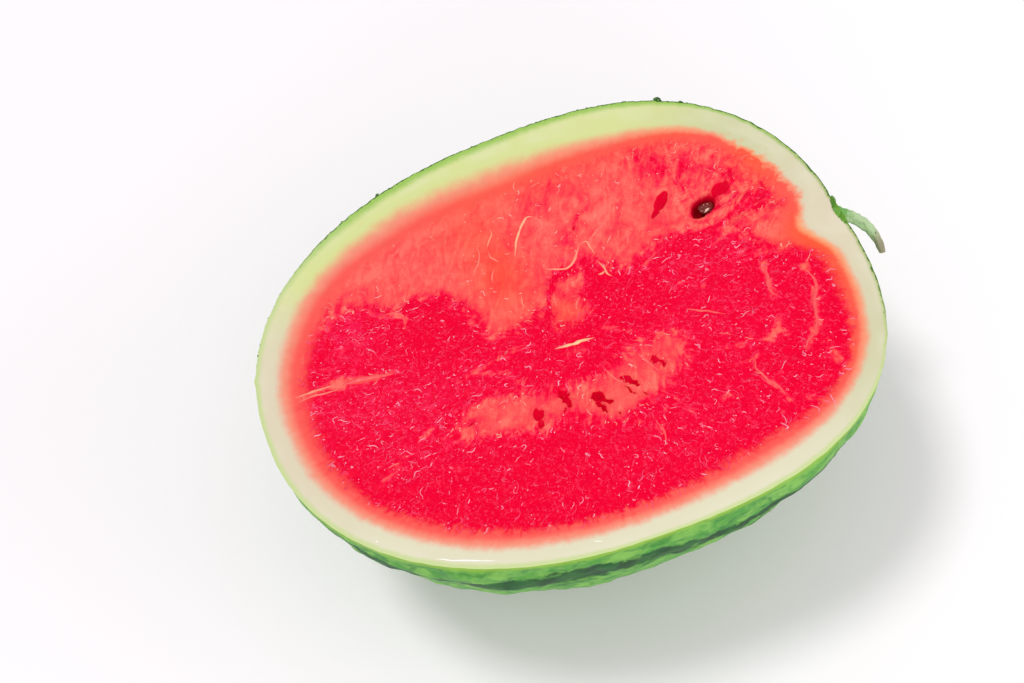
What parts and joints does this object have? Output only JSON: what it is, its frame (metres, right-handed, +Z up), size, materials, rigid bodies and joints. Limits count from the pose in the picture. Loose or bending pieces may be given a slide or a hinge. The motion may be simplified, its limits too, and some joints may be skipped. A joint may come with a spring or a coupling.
{
  "type": "watermelon half",
  "caption": "Half of an oval watermelon cut lengthwise, lying on its rind with the flat cut face up, a short curved stem at one end and a seed in its pocket.",
  "frame": {"origin": "centre of the small flat spot under the rind that the half rests on", "axes": "+X along the fruit's length towards the stem end, +Y across its width, +Z straight up out of the cut face"},
  "size_m": [0.2685, 0.208, 0.1095],
  "materials": {
    "flesh_and_rind": "satin",
    "stem": "matte",
    "seed": "satin"
  },
  "bodies": {
    "root": {"half_melon": "flesh_and_rind", "stem": "stem", "seed": "seed"}
  },
  "joints": []
}
